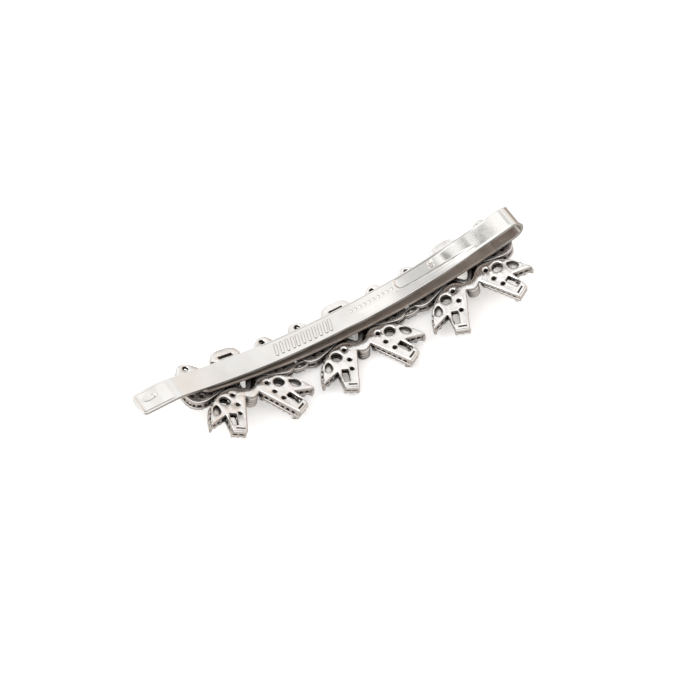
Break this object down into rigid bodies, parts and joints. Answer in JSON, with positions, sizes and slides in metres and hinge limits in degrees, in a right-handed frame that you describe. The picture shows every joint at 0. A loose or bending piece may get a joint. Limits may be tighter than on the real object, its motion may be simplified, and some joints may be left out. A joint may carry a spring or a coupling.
{
  "type": "rhinestone hair clip",
  "caption": "Arched hairpin spring clip with a thumb tab, carrying a row of pierced ribbon-bow castings set with round, pear and baguette crystals.",
  "frame": {"origin": "middle of the table of the middle bow's centre stone, on which the clip rests face down", "axes": "+X along the clip from the thumb tab to the U-bend, +Y from the ribbon tails to the top petals, +Z from the stones up to the free leaf"},
  "size_m": [0.0885, 0.0209, 0.0143],
  "materials": {
    "casting": "rhodium-plated white metal, polished, pierced behind each stone",
    "spring": "polished nickel-silver coloured spring strip",
    "crystal": "cut clear crystal, polished facets"
  },
  "bodies": {
    "clip_front": {"bow_1_centre": "casting", "bow_1_tail_left": "casting", "bow_1_tail_right": "casting", "bow_1_loop_left": "casting", "bow_1_loop_right": "casting", "bow_1_round_stone_left": "crystal", "bow_1_round_stone_right": "crystal", "bow_1_petal_stone_left": "crystal", "bow_1_petal_stone_right": "crystal", "bow_1_pear_stone_left": "crystal", "bow_1_pear_stone_right": "crystal", "bow_1_baguette_left": "crystal", "bow_1_baguette_right": "crystal", "bow_1_centre_stone": "crystal", "bow_1_knot_baguette": "crystal", "bow_1_top_baguette": "crystal", "bow_2_centre": "casting", "bow_2_tail_left": "casting", "bow_2_tail_right": "casting", "bow_2_loop_left": "casting", "bow_2_loop_right": "casting", "bow_2_round_stone_left": "crystal", "bow_2_round_stone_right": "crystal", "bow_2_petal_stone_left": "crystal", "bow_2_petal_stone_right": "crystal", "bow_2_pear_stone_left": "crystal", "bow_2_pear_stone_right": "crystal", "bow_2_baguette_left": "crystal", "bow_2_baguette_right": "crystal", "bow_2_centre_stone": "crystal", "bow_2_knot_baguette": "crystal", "bow_2_top_baguette": "crystal", "bow_3_centre": "casting", "bow_3_tail_left": "casting", "bow_3_tail_right": "casting", "bow_3_loop_left": "casting", "bow_3_loop_right": "casting", "bow_3_round_stone_left": "crystal", "bow_3_round_stone_right": "crystal", "bow_3_petal_stone_left": "crystal", "bow_3_petal_stone_right": "crystal", "bow_3_pear_stone_left": "crystal", "bow_3_pear_stone_right": "crystal", "bow_3_baguette_left": "crystal", "bow_3_baguette_right": "crystal", "bow_3_centre_stone": "crystal", "bow_3_knot_baguette": "crystal", "bow_3_top_baguette": "crystal", "link_1": "casting", "link_2": "casting", "front_leaf": "spring"},
    "spring_arm": {"back_leaf": "spring"}
  },
  "joints": [
    {"name": "spring_flex", "type": "hinge", "parent": "clip_front", "child": "spring_arm", "pos_m": [0.03953, 0.00035, 0.0124], "axis": [0, 1, 0], "range_deg": [0, 8], "stiffness_Nm_per_rad": 0.5, "springref_deg": -8.59}
  ]
}
